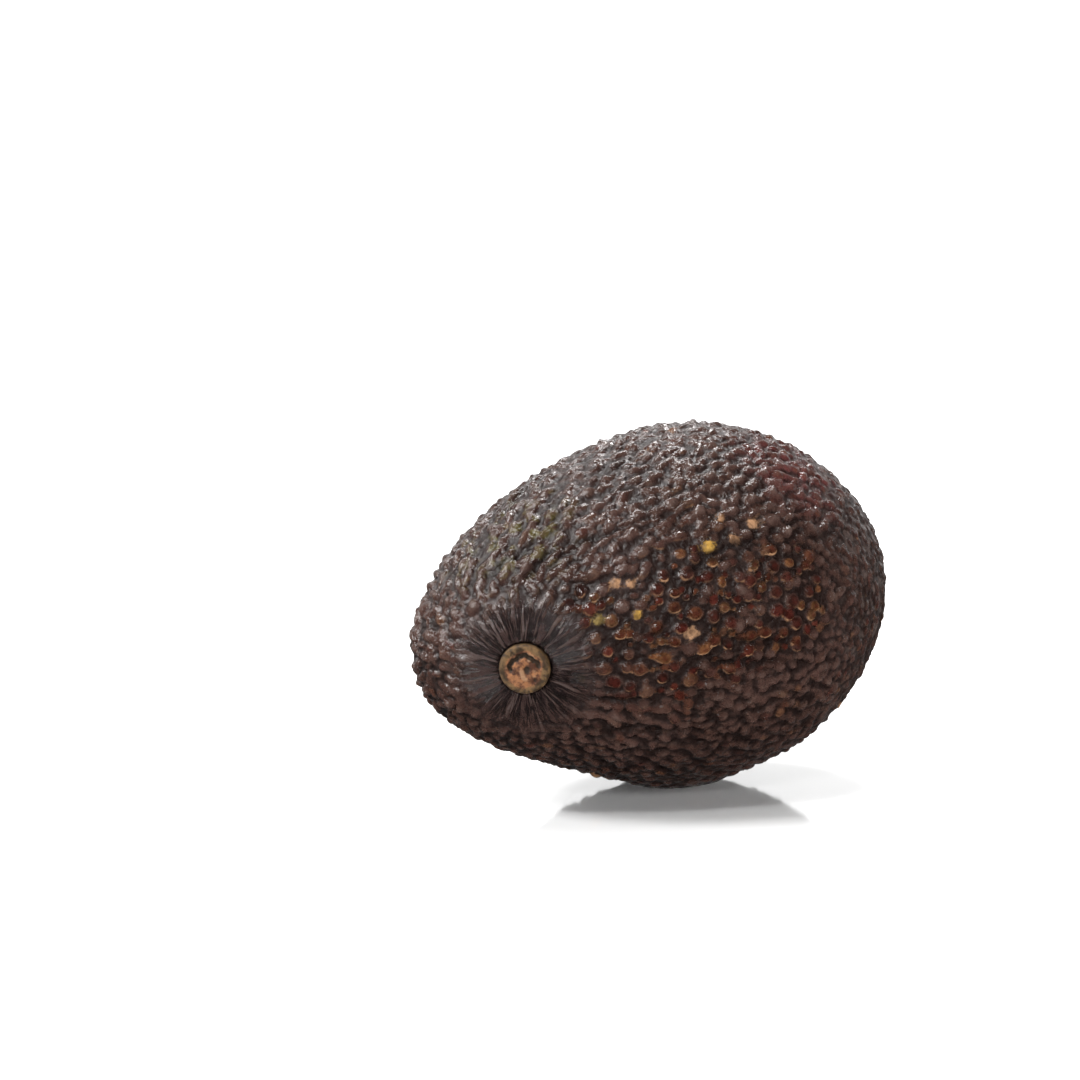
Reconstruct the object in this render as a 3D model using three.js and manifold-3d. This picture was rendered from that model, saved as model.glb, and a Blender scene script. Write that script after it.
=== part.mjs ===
// A pebbly-skinned avocado lying on its side, with the corky button of its stem still in the scar.
// Millimetres, +Z up. The origin is on the floor under the middle of the fruit, and the stem end
// points towards -X. The fruit is a bent, tapered egg form. Its skin is a field of pebbles, each a
// low six-sided peak set in the valleys that it shares with its neighbours.

import * as THREE from "three";
import { ConvexHull } from "three/addons/math/ConvexHull.js";
import { mergeVertices } from "three/addons/utils/BufferGeometryUtils.js";
import Module from "manifold-3d";

const wasm = await Module();
wasm.setup();

// The form: an egg along its own z axis, stem end at +z, bent sideways towards +x at the neck
const LENGTH = 100.6;
const GIRTH_RADIUS = 34.35;
const TAPER = 0.187; // how much slimmer the stem end is
const FULLNESS = -0.096; // negative values draw both ends in
const SHOULDER = 0.12; // keeps the stem end blunt
const FLATTENING = 0.962; // across y, against x
const BEND = 0.377; // radians, from BEND_START to the stem end
const BEND_START = 0.168; // in half lengths from the middle

// How the fruit lies
const ROLL = 2.675; // radians about its own length
const PITCH = -0.071; // radians, the stem end a little down

// The stem scar, as an angle away from the stem end's pole and an angle round it
const SCAR_TILT = 0.723;
const SCAR_TURN = 2.124;
const SOCKET_RADIUS = 4.9;
const SOCKET_DEPTH = 2.0;
const BUTTON_RADIUS = 4.55;
const BUTTON_GAP = 0.35; // between the button and the socket's floor
const BUTTON_CHAMFER = 0.3; // round its foot
const BUTTON_ROUGHNESS = 0.16;
const INNER_TOP = 0.95; // the share of its radius over which it is knobbly
// The worn top, from its rim inwards: share of the radius, and height against the smooth form
const BUTTON_TOP = [
  [1, -0.65],
  [0.97, -0.3],
  [0.89, -0.14],
  [0.78, -0.2],
  [0.69, 0],
  [0.49, 0.15],
  [0.25, 0.25],
  [0, 0.15],
];
const SCAR_DISH = 0.4; // how far the skin dips round the scar
const SCAR_DISH_RADIUS = 10;
const SOCKET_SIDES = 36;
const BUTTON_SIDES = 28;

// The pebbles
const PEBBLE_COUNT = 1850;
const PEBBLE_HEIGHT = 1.1;
const LEAST_PEBBLE = 0.7; // the lowest pebble, as a share of the highest
const PEBBLE_SHIFT = 0.3; // how far a pebble strays from an even spacing, in spacings
const RIDGED_RADIUS = 8; // round the scar, where the pebbles give way to low ridges
const PEBBLED_RADIUS = 17; // from here on they stand at full height
const RIDGE_SHARE = 0.3; // the height of the ridges, in pebble heights

// The flat spot that it rests on
const FLOOR_DROP = 0.5; // the floor lies this far under the smooth form
const FLAT_PAD = 1.3; // the skin is this much fuller round the flat spot
const FLAT_RADIUS = 8;
const FLAT_FADE = 13;

const GOLDEN_ANGLE = Math.PI * (3 - Math.sqrt(5));
const WELD = 1e-4; // vertices closer than this are one

// A repeatable draw from 0 to 1
function draw(index, stream) {
  const wave = Math.sin(index * 12.9898 + stream * 78.233) * 43758.5453;
  return wave - Math.floor(wave);
}

function smoothstep(low, high, value) {
  const x = Math.min(1, Math.max(0, (value - low) / (high - low)));
  return x * x * (3 - 2 * x);
}

// The smooth form under the pebbles, for a direction on the unit sphere
const lie = new THREE.Matrix4()
  .makeRotationY(PITCH)
  .multiply(new THREE.Matrix4().set(0, 0, -1, 0, 0, 1, 0, 0, 1, 0, 0, 0, 0, 0, 0, 1))
  .multiply(new THREE.Matrix4().makeRotationZ(ROLL));

function formPoint(direction) {
  const t = direction.z;
  const swell = GIRTH_RADIUS * (1 - TAPER * t + FULLNESS * t * t + SHOULDER * t * t * t);
  const across = direction.x * swell;
  const half = LENGTH / 2;
  const curvature = BEND / (half * (1 - BEND_START));
  const turn = curvature * half * Math.max(0, t - BEND_START);
  return new THREE.Vector3(
    (1 - Math.cos(turn)) / curvature + across * Math.cos(turn),
    direction.y * swell * FLATTENING,
    half * Math.min(t, BEND_START) + Math.sin(turn) / curvature - across * Math.sin(turn),
  ).applyMatrix4(lie);
}

// The outward normal of the smooth form, from two small steps along it
function formNormal(direction) {
  const step = 1e-4;
  const helper = Math.abs(direction.z) < 0.9 ? new THREE.Vector3(0, 0, 1) : new THREE.Vector3(1, 0, 0);
  const east = helper.clone().cross(direction).normalize();
  const north = direction.clone().cross(east);
  const here = formPoint(direction);
  const eastward = formPoint(direction.clone().addScaledVector(east, step).normalize()).sub(here);
  const northward = formPoint(direction.clone().addScaledVector(north, step).normalize()).sub(here);
  return eastward.cross(northward).normalize();
}

// The height t on the unit sphere below which a given share of the skin's area lies
function evenHeights(count) {
  const bands = 400;
  const area = [0];
  for (let band = 0; band < bands; band += 1) {
    const low = formPoint(ringDirection(-1 + (2 * band) / bands, 0));
    const high = formPoint(ringDirection(-1 + (2 * (band + 1)) / bands, 0));
    const t = -1 + (2 * band + 1) / bands;
    const swell = 1 - TAPER * t + FULLNESS * t * t + SHOULDER * t * t * t;
    area.push(area[band] + low.distanceTo(high) * swell * Math.sqrt(1 - t * t));
  }
  const heights = [];
  let band = 0;
  for (let index = 0; index < count; index += 1) {
    const wanted = ((index + 0.5) / count) * area[bands];
    while (area[band + 1] < wanted) band += 1;
    const share = (wanted - area[band]) / (area[band + 1] - area[band]);
    heights.push(-1 + (2 * (band + share)) / bands);
  }
  return heights;
}

function ringDirection(t, turn) {
  const ring = Math.sqrt(Math.max(0, 1 - t * t));
  return new THREE.Vector3(ring * Math.cos(turn), ring * Math.sin(turn), t);
}

const scarDirection = ringDirection(Math.cos(SCAR_TILT), SCAR_TURN);
const scarPoint = formPoint(scarDirection);
const scarNormal = formNormal(scarDirection);
const restPoint = lowestPoint();

// The lowest point of the smooth form, found by ever smaller steps over the sphere
function lowestPoint() {
  let direction = ringDirection(0, Math.PI);
  let lowest = formPoint(direction);
  for (let step = 0.5; step > 1e-5; step *= 0.7) {
    for (let way = 0; way < 16; way += 1) {
      const turn = (way * Math.PI) / 8;
      const shift = new THREE.Vector3(Math.cos(turn), Math.sin(turn), 0);
      const helper = new THREE.Matrix4().lookAt(new THREE.Vector3(), direction, new THREE.Vector3(0, 0, 1));
      const trial = direction.clone().addScaledVector(shift.applyMatrix4(helper), step).normalize();
      const point = formPoint(trial);
      if (point.z < lowest.z) {
        lowest = point;
        direction = trial;
      }
    }
  }
  return lowest;
}

// The skin: the smooth form, dished a little at the scar, fuller at the flat spot, and raised by lift
function skinPoint(direction, lift) {
  const base = formPoint(direction);
  const fromScar = base.distanceTo(scarPoint);
  const fromRest = Math.hypot(base.x - restPoint.x, base.y - restPoint.y);
  const onPad = base.z < 0 ? 1 - smoothstep(FLAT_RADIUS, FLAT_FADE, fromRest) : 0;
  const pebbled = smoothstep(RIDGED_RADIUS, PEBBLED_RADIUS, fromScar);
  const raised = lift * (RIDGE_SHARE + (1 - RIDGE_SHARE) * pebbled);
  const dished = SCAR_DISH * (1 - smoothstep(SOCKET_RADIUS, SCAR_DISH_RADIUS, fromScar));
  const offset = (raised - dished) * (1 - onPad) + FLAT_PAD * onPad;
  return base.addScaledVector(formNormal(direction), offset);
}

// One direction for each pebble, evenly spread over the skin and then strayed
function pebbleDirections() {
  const spacing = Math.sqrt((4 * Math.PI) / PEBBLE_COUNT);
  return evenHeights(PEBBLE_COUNT).map((t, index) => {
    const stray = new THREE.Vector3(draw(index, 1) - 0.5, draw(index, 2) - 0.5, draw(index, 3) - 0.5);
    return ringDirection(t, index * GOLDEN_ANGLE)
      .addScaledVector(stray, 2 * PEBBLE_SHIFT * spacing)
      .normalize();
  });
}

// Triangles between neighbouring pebbles: on a sphere they are the faces of the convex hull
function neighbourTriangles(directions) {
  const places = new Map(directions.map((direction, index) => [direction, index]));
  return new ConvexHull().setFromPoints(directions).faces.map((face) => {
    const corners = [];
    let edge = face.edge;
    do {
      corners.push(places.get(edge.head().point));
      edge = edge.next;
    } while (edge !== face.edge);
    return corners;
  });
}

// The pebbled skin: a peak for each pebble, and a valley in the middle of each three neighbours.
// Each pair of neighbours shares one valley line, so a peak stands in a ring of valleys.
function pebbledSkin() {
  const directions = pebbleDirections();
  const triangles = neighbourTriangles(directions);
  const positions = [];
  directions.forEach((direction, index) => {
    const lift = PEBBLE_HEIGHT * (LEAST_PEBBLE + (1 - LEAST_PEBBLE) * draw(index, 4));
    positions.push(...skinPoint(direction, lift).toArray());
  });
  const valleyAcross = new Map();
  triangles.forEach((corners, face) => {
    const middle = new THREE.Vector3();
    corners.forEach((corner) => middle.add(directions[corner]));
    positions.push(...skinPoint(middle.normalize(), 0).toArray());
    corners.forEach((corner, side) => {
      valleyAcross.set(corner + ">" + corners[(side + 1) % 3], PEBBLE_COUNT + face);
    });
  });
  const indices = [];
  valleyAcross.forEach((leftValley, key) => {
    const [from, to] = key.split(">");
    indices.push(Number(from), valleyAcross.get(to + ">" + from), leftValley);
  });
  const geometry = new THREE.BufferGeometry();
  geometry.setAttribute("position", new THREE.Float32BufferAttribute(positions, 3));
  geometry.setIndex(indices);
  return geometry;
}

// A geometry with only positions, and its shared vertices merged
function welded(geometry) {
  const bare = geometry.clone();
  bare.deleteAttribute("normal");
  bare.deleteAttribute("uv");
  return mergeVertices(bare, WELD);
}

function toSolid(geometry) {
  const merged = welded(geometry);
  return new wasm.Manifold(
    new wasm.Mesh({
      numProp: 3,
      vertProperties: new Float32Array(merged.attributes.position.array),
      triVerts: new Uint32Array(merged.index.array),
    }),
  );
}

function toGeometry(solid) {
  const mesh = solid.getMesh();
  const geometry = new THREE.BufferGeometry();
  geometry.setAttribute("position", new THREE.Float32BufferAttribute(mesh.vertProperties, 3));
  geometry.setIndex([...mesh.triVerts]);
  geometry.computeVertexNormals();
  return geometry;
}

// Turns a shape that stands on +Y at the origin so that it stands out of the scar
function standInScar(geometry) {
  const turn = new THREE.Quaternion().setFromUnitVectors(new THREE.Vector3(0, 1, 0), scarNormal);
  return geometry.applyQuaternion(turn).translate(scarPoint.x, scarPoint.y, scarPoint.z);
}

function fruit() {
  const skin = toSolid(pebbledSkin());
  const socketHeight = SOCKET_DEPTH + SOCKET_RADIUS;
  const socket = new THREE.CylinderGeometry(SOCKET_RADIUS, SOCKET_RADIUS, socketHeight, SOCKET_SIDES);
  socket.translate(0, socketHeight / 2 - SOCKET_DEPTH - SCAR_DISH, 0);
  const floor = new THREE.BoxGeometry(2 * LENGTH, 2 * LENGTH, LENGTH);
  floor.translate(0, 0, restPoint.z - FLOOR_DROP - LENGTH / 2);
  return toGeometry(skin.subtract(toSolid(standInScar(socket))).subtract(toSolid(floor)));
}

// A low, worn crown with a sunken ring inside its rim, knobbly where it broke from the stem
function stemButton() {
  const foot = BUTTON_GAP - SOCKET_DEPTH - SCAR_DISH;
  const points = [
    new THREE.Vector2(0, foot),
    new THREE.Vector2(BUTTON_RADIUS - BUTTON_CHAMFER, foot),
    new THREE.Vector2(BUTTON_RADIUS, foot + BUTTON_CHAMFER),
    ...BUTTON_TOP.map(([share, height]) => new THREE.Vector2(share * BUTTON_RADIUS, height)),
  ];
  const geometry = welded(new THREE.LatheGeometry(points, BUTTON_SIDES));
  const place = geometry.attributes.position;
  for (let index = 0; index < place.count; index += 1) {
    const inside = Math.hypot(place.getX(index), place.getZ(index)) < INNER_TOP * BUTTON_RADIUS;
    if (inside && place.getY(index) > BUTTON_TOP[0][1]) {
      place.setY(index, place.getY(index) + BUTTON_ROUGHNESS * (draw(index, 5) - 0.5));
    }
  }
  return toGeometry(toSolid(standInScar(geometry)));
}

const skinMaterial = new THREE.MeshStandardMaterial({ color: 0x3d2f30, roughness: 0.5, metalness: 0 });
const corkMaterial = new THREE.MeshStandardMaterial({ color: 0x8a6440, roughness: 0.9, metalness: 0 });

function piece(name, geometry, material) {
  const mesh = new THREE.Mesh(geometry, material);
  mesh.name = name;
  return mesh;
}

const avocado = new THREE.Group();
avocado.add(piece("fruit", fruit(), skinMaterial));
avocado.add(piece("stem_button", stemButton(), corkMaterial));
const box = new THREE.Box3().setFromObject(avocado, true);
avocado.position.set(-(box.min.x + box.max.x) / 2, -(box.min.y + box.max.y) / 2, -box.min.z);

export default avocado;
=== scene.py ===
# A pebbly-skinned avocado lying on a glossy white floor in soft studio light.
# The skin and the corky stem button are modelled here over the frame's plain solids, on the same
# smooth form and with the same pebbles. Sizes are in millimetres until a mesh is finished.

import math

import bmesh
import bpy
import numpy as np
from mathutils import Matrix, Vector, noise
from mathutils.kdtree import KDTree


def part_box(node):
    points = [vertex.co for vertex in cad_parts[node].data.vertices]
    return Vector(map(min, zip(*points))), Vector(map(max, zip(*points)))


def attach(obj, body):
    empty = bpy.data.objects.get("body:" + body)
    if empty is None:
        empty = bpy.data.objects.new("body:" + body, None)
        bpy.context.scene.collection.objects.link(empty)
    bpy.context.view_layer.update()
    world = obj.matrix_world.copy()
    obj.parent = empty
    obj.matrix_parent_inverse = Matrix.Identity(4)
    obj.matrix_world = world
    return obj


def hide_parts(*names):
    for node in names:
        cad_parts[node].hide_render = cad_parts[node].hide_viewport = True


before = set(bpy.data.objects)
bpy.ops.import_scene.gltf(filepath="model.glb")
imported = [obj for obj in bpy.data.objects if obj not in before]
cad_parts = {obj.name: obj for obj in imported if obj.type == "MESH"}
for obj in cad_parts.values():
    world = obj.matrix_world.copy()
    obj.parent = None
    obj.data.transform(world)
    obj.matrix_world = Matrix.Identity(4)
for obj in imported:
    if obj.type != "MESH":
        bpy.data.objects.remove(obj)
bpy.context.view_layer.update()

MM = 0.001
GOLDEN_ANGLE = math.pi * (3 - math.sqrt(5))

# The smooth form of the fruit, along its own z axis with the stem end at +z, as the solid has it
LENGTH = 100.6
GIRTH_RADIUS = 34.35
TAPER = 0.187
FULLNESS = -0.096
SHOULDER = 0.12
FLATTENING = 0.962
BEND = 0.377
BEND_START = 0.168
ROLL = 2.675
PITCH = -0.071

# The scar with its socket, the form's gap over the floor, and the flat spot
SCAR_TILT = 0.723
SCAR_TURN = 2.124
SCAR_DISH = 0.4
SCAR_DISH_RADIUS = 10
SOCKET_RADIUS = 4.9
SOCKET_DEPTH = 2.0
SOCKET_EDGE = 0.35
SOCKET_WALL = 0.25
SOCKET_CLEARANCE = 0.05
SOCKET_REACH = 6
FLOOR_GAP = 0.5
FLAT_PAD = 1.1
FLAT_RADIUS = 7
FLAT_FADE = 14

# The pebbles that the solid has too
PEBBLE_COUNT = 1850
PEBBLE_SHIFT = 0.3
SOLID_PEBBLE = 1.1
LEAST_PEBBLE = 0.7

# The finer skin: pebble radii and gaps in the plain skin, at the fine blossom end and in the bold band
SMALL_PEBBLE_TRIES = 12000
SMALL_PEBBLE_SHIFT = 0.45
LARGE_PLAIN = 1.16
LARGE_FINE = 1.0
LARGE_BOLD = 1.30
SMALL_PLAIN = 1.06
SMALL_FINE = 0.85
SMALL_BOLD = 0.78
APART_PLAIN = 1.60
APART_FINE = 1.45
APART_BOLD = 1.55
CLEAR_PLAIN = 1.50
CLEAR_FINE = 1.35
CLEAR_BOLD_MARGIN = 0.55
RIDGED_RADIUS = 8
PEBBLED_RADIUS = 17

# How far the pebbles' outlines stray, how far out domes and roots reach, and how many of each count
FINE_STRAY = 0.45
FINE_STRAY_SIZE = 1.5
BROAD_STRAY = 1.3
BROAD_STRAY_SIZE = 6.5
DOME_EDGE = 1.1
ROOT_EDGE = 1.25
DOMES_NEAR = 8
ROOTS_NEAR = 7

# What the pebbles' relief is multiplied by, and by what again in the ring round the scar
RELIEF_SCALE = 1.3
RING_RELIEF = 0.16

# The relief's heights and the sizes of its features, in millimetres
RELIEF_DROP = 0.24
RELIEF_BASE = 0.12
SPOKE_HEIGHT = 0.26
SWELL_HEIGHT = 0.14
SWELL_SIZE = 9.0
GRAIN_HEIGHT = 0.09
GRAIN_SIZE = 1.1
WRINKLE_LIFT = 0.06
WRINKLE_DEPTH = 0.25
WRINKLE_SIZE = 1.9
FREE_HEIGHT = 0.75
HEIGHT_ROUNDING = 0.25

# The raised height that the material takes as 0, the range from there to 1, and the ring's own value
LOWEST_RAISED = -0.18
RAISED_RANGE = 1.1
RING_LIFT = 0.45

# Places on the fruit, as a height from -1 at the blossom end to 1 at the stem end, and a turn round it
MID_BAND = [(0.48, 2.2), (0.35, 2.0), (0.22, 2.3), (0.05, 2.1), (-0.15, 2.2)]
UPPER_BAND = [(0.35, 2.8), (0.10, 2.85), (0.20, -3.1)]
NECK = [(0.78, -2.9), (0.66, 3.0), (0.55, -2.8), (0.85, -2.2)]
RED_PATCH = (-0.44, 3.0)
GREEN_NECK = (0.60, -2.95)
CAMERA_SIDE = (0.1, 2.3)

# How far round those places each kind of skin reaches, in millimetres
MID_BAND_REACH = 15
UPPER_BAND_REACH = 17
NECK_REACH = 19

# Creases, each through the places that it passes
CREASES = [
    [(0.78, 3.11), (0.67, 2.89), (0.61, 2.89), (0.55, 2.94), (0.48, 2.94)],
    [(0.73, 3.13), (0.68, 3.11), (0.61, 3.10), (0.52, 3.08)],
    [(0.60, 2.45), (0.54, 2.55), (0.48, 2.63)],
    [(0.27, 3.28), (0.18, 3.38), (0.09, 3.43)],
    [(0.58, 2.88), (0.49, 2.89), (0.40, 2.87), (0.28, 2.85)],
    [(0.21, 1.94), (0.08, 1.89), (-0.09, 1.86), (-0.24, 1.81)],
    [(0.67, 1.81), (0.54, 1.74), (0.38, 1.69)],
    [(0.34, 2.48), (0.21, 2.46), (0.13, 2.48), (-0.06, 2.47)],
    [(0.47, 1.46), (0.33, 1.43), (0.18, 1.47)],
    [(0.40, 2.14), (0.33, 2.14), (0.24, 2.29)],
    [(0.18, 2.51), (0.10, 2.52), (-0.08, 2.56), (-0.26, 2.60)],
    [(0.12, 2.03), (0.00, 1.98), (-0.17, 1.95)],
]
OTHER_CREASES = 30
CREASE_DEPTH = 0.6
CREASE_WIDTH = 0.6
CREASE_REACH = 1.8
PATH_STEP = 0.35

# Flat corky tops and coloured pebbles: the place, the kind, and the radius in millimetres
SPOTS = [
    ((0.106, 2.585), "yellow", 1.15),
    ((0.009, 2.676), "cork", 1.0),
    ((-0.090, 2.622), "cork", 1.1),
    ((-0.016, 2.575), "cork", 0.9),
    ((0.416, 2.521), "cork", 1.1),
    ((0.37, 2.50), "cork", 0.9),
    ((0.235, 2.12), "cork", 1.2),
    ((0.600, 1.907), "green", 0.9),
    ((0.52, 2.33), "olive", 1.0),
    ((0.41, 2.27), "yellow", 0.75),
    ((-0.62, 1.2), "cork", 1.1),
    ((0.35, 0.6), "cork", 1.2),
    ((-0.20, -0.9), "cork", 1.1),
    ((0.30, -1.6), "olive", 1.2),
    ((-0.35, -2.1), "cork", 1.0),
    ((0.60, -0.5), "cork", 0.9),
    ((-0.996, 0.0), "cork", 1.0),
]
SPOT_COLOURS = {
    "cork": (0.135, 0.073, 0.038),
    "yellow": (0.170, 0.096, 0.018),
    "green": (0.050, 0.045, 0.012),
    "olive": (0.085, 0.058, 0.015),
}
SPOT_SPREAD = 1.25
SPOT_STRETCH = 1.15
SPOT_HEIGHT = 0.45
SPOT_CLEARANCE = 0.7
FLATTENED_RADIUS = 0.25

# The browned tips' colours, one of which each pebble draws
TIP_COLOURS = [
    (0.028, 0.0060, 0.0042),
    (0.038, 0.0090, 0.0055),
    (0.024, 0.0070, 0.0050),
    (0.046, 0.0160, 0.0080),
    (0.034, 0.0120, 0.0065),
    (0.026, 0.0085, 0.0060),
    (0.020, 0.0070, 0.0052),
    (0.066, 0.0270, 0.0110),
    (0.050, 0.0230, 0.0110),
]


def draw(index, stream):
    """A repeatable draw from 0 to 1, for a number or an array of them."""
    wave = np.sin(index * 12.9898 + stream * 78.233) * 43758.5453
    return wave - np.floor(wave)


def smoothstep(low, high, value):
    x = np.clip((value - low) / (high - low), 0, 1)
    return x * x * (3 - 2 * x)


def mix(a, b, share):
    return a + (b - a) * share


def unit(vectors):
    return vectors / np.linalg.norm(vectors, axis=-1, keepdims=True)


def on_sphere(height, turn):
    ring = np.sqrt(np.maximum(0, 1 - height * height))
    return np.stack([ring * np.cos(turn), ring * np.sin(turn), height + 0 * turn], axis=-1)


def lie_matrix():
    """Turns the fruit's own axes so that it lies on its side with the stem end towards -X."""
    cos_roll, sin_roll = math.cos(ROLL), math.sin(ROLL)
    cos_pitch, sin_pitch = math.cos(PITCH), math.sin(PITCH)
    roll = np.array([[cos_roll, -sin_roll, 0], [sin_roll, cos_roll, 0], [0, 0, 1]])
    lay = np.array([[0, 0, -1], [0, 1, 0], [1, 0, 0]])
    pitch = np.array([[cos_pitch, 0, sin_pitch], [0, 1, 0], [-sin_pitch, 0, cos_pitch]])
    return pitch @ lay @ roll


LIE = lie_matrix()


def swell(height):
    return 1 - TAPER * height + FULLNESS * height**2 + SHOULDER * height**3


def form(directions):
    """The smooth form's points for directions on the unit sphere, before the fruit is set on the floor."""
    height = directions[..., 2]
    radius = GIRTH_RADIUS * swell(height)
    across = directions[..., 0] * radius
    half = LENGTH / 2
    curvature = BEND / (half * (1 - BEND_START))
    turn = curvature * half * np.maximum(0, height - BEND_START)
    own = np.stack(
        [
            (1 - np.cos(turn)) / curvature + across * np.cos(turn),
            directions[..., 1] * radius * FLATTENING,
            half * np.minimum(height, BEND_START) + np.sin(turn) / curvature - across * np.sin(turn),
        ],
        axis=-1,
    )
    return own @ LIE.T


def along_form(directions, tangents):
    """The way on the form's surface that a tangent of the unit sphere leads."""
    step = 1e-4
    return unit(form(unit(directions + step * tangents)) - form(directions))


def form_normal(directions):
    helper = np.where(np.abs(directions[..., 2:3]) < 0.9, [[0.0, 0.0, 1.0]], [[1.0, 0.0, 0.0]])
    east = unit(np.cross(helper, directions))
    north = np.cross(directions, east)
    return unit(np.cross(along_form(directions, east), along_form(directions, north)))


def grain(directions):
    """Tangents of the unit sphere that run from the scar round the fruit to the blossom end."""
    scar = on_sphere(math.cos(SCAR_TILT), np.array(SCAR_TURN))
    ways = np.zeros_like(directions)
    for pole, sign in ((scar, -1), (np.array([0.0, 0.0, -1.0]), 1)):
        facing = np.clip(directions @ pole, -0.9999, 0.9999)[..., None]
        towards = unit(pole - facing * directions)
        ways += sign * towards * np.sqrt((1 + facing) / (1 - facing))
    return unit(ways)


def even_directions(count):
    """Directions spread evenly over the form's skin, on a spiral."""
    bands = 400
    edges = -1 + 2 * np.arange(bands + 1) / bands
    ends = form(on_sphere(edges, 0 * edges))
    middle = (edges[1:] + edges[:-1]) / 2
    area = np.linalg.norm(ends[1:] - ends[:-1], axis=1) * swell(middle) * np.sqrt(1 - middle**2)
    below = np.concatenate([[0], np.cumsum(area)])
    index = np.arange(count)
    heights = np.interp((index + 0.5) / count * below[-1], below, edges)
    return on_sphere(heights, index * GOLDEN_ANGLE)


def strayed(directions, shift, streams):
    index = np.arange(len(directions))
    stray = np.stack([draw(index, stream) - 0.5 for stream in streams], axis=-1)
    return unit(directions + stray * 2 * shift * math.sqrt(4 * math.pi / len(directions)))


def place(height, turn):
    return form(on_sphere(np.array(height), np.array(turn)))


PEBBLES = strayed(even_directions(PEBBLE_COUNT), PEBBLE_SHIFT, (1, 2, 3))
SCAR = place(math.cos(SCAR_TILT), SCAR_TURN)
SCAR_NORMAL = form_normal(on_sphere(np.array([math.cos(SCAR_TILT)]), np.array([SCAR_TURN])))[0]
SURVEY = form(even_directions(40000))
REST = SURVEY[SURVEY[:, 2].argmin()]


def frame_shift():
    """The shift that puts the form where the solid has it, by the solid's box and the floor."""
    lift = SOLID_PEBBLE * (LEAST_PEBBLE + (1 - LEAST_PEBBLE) * draw(np.arange(PEBBLE_COUNT), 4))
    peaks = form(PEBBLES) + lift[:, None] * form_normal(PEBBLES)
    middle = (peaks.min(axis=0) + peaks.max(axis=0)) / 2
    low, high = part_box("fruit")
    return np.array([
        (low.x + high.x) / 2 / MM - middle[0],
        (low.y + high.y) / 2 / MM - middle[1],
        FLOOR_GAP - REST[2],
    ])


SHIFT = frame_shift()


# The skin's relief


def noise_at(points, size, offset=0.0):
    """Smooth noise, about -1 to 1, with features of that size in millimetres."""
    places = points / size + offset
    return np.array([noise.noise(Vector(p)) for p in places])


def wander(points, size, offset):
    """A smooth stray in all three directions, with features of that size."""
    return np.stack([noise_at(points, size, offset + axis * 4.1) for axis in range(3)], axis=1)


def near_any(points, spots, radius):
    """1 close to one of some places, falling smoothly to 0 at the radius."""
    centres = np.array([place(*spot) for spot in spots])
    gaps = np.min(np.linalg.norm(points[:, None, :] - centres, axis=2), axis=1)
    return 1 - smoothstep(0.4 * radius, radius, gaps)


def zones(directions, points):
    """How far each point's pebbles are bold and browned, drawn out along the grain, or fine."""
    facing = directions @ on_sphere(CAMERA_SIDE[0], np.array(CAMERA_SIDE[1]))
    hidden = 1 - smoothstep(-0.35, 0.1, facing)
    broad = smoothstep(0.12, 0.42, noise_at(points, 23, 7.3))
    bold = np.maximum(near_any(points, MID_BAND, MID_BAND_REACH), 0.8 * hidden * broad)
    upper = near_any(points, UPPER_BAND, UPPER_BAND_REACH)
    drawn = np.maximum(near_any(points, NECK, NECK_REACH), 0.75 * upper)
    drawn = np.maximum(drawn, 0.7 * smoothstep(0.0, 0.4, noise_at(points, 27, 2.9)))
    fine = 1 - smoothstep(-0.75, -0.3, directions[:, 2])
    return bold * (1 - 0.7 * fine), drawn * (1 - fine), fine


def low_lying(points):
    """1 on the underside, where the pebbles are lower, falling to 0 at a third of the fruit's height."""
    return 1 - smoothstep(6, 24, points[:, 2] + SHIFT[2])


def by_zone(fine, bold, plain, at_end, in_band):
    """A measure that differs between the plain skin, the fine blossom end and the bold band."""
    return mix(mix(plain, at_end, fine), in_band, bold)


def tree_of(points):
    tree = KDTree(len(points))
    for index, point in enumerate(points):
        tree.insert(point, index)
    tree.balance()
    return tree


def small_pebbles(large, large_radius):
    """Directions of the small pebbles, in what room the large ones leave."""
    candidates = strayed(even_directions(SMALL_PEBBLE_TRIES), SMALL_PEBBLE_SHIFT, (11, 12, 13))
    points = form(candidates)
    bold, _, fine = zones(candidates, points)
    apart = by_zone(fine, bold, APART_PLAIN, APART_FINE, APART_BOLD)
    clear = mix(CLEAR_PLAIN, CLEAR_FINE, fine)
    taken = tree_of(large)
    own = tree_of(points)
    free = np.ones(len(points), bool)
    kept = []
    for index in np.argsort(draw(np.arange(len(points)), 14)):
        _, nearest, gap = taken.find(points[index])
        least = mix(clear[index], large_radius[nearest] + CLEAR_BOLD_MARGIN, bold[index])
        if not free[index] or gap < least:
            continue
        kept.append(index)
        for _, other, _ in own.find_range(points[index], apart[index]):
            free[other] = False
    return candidates[kept]


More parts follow.
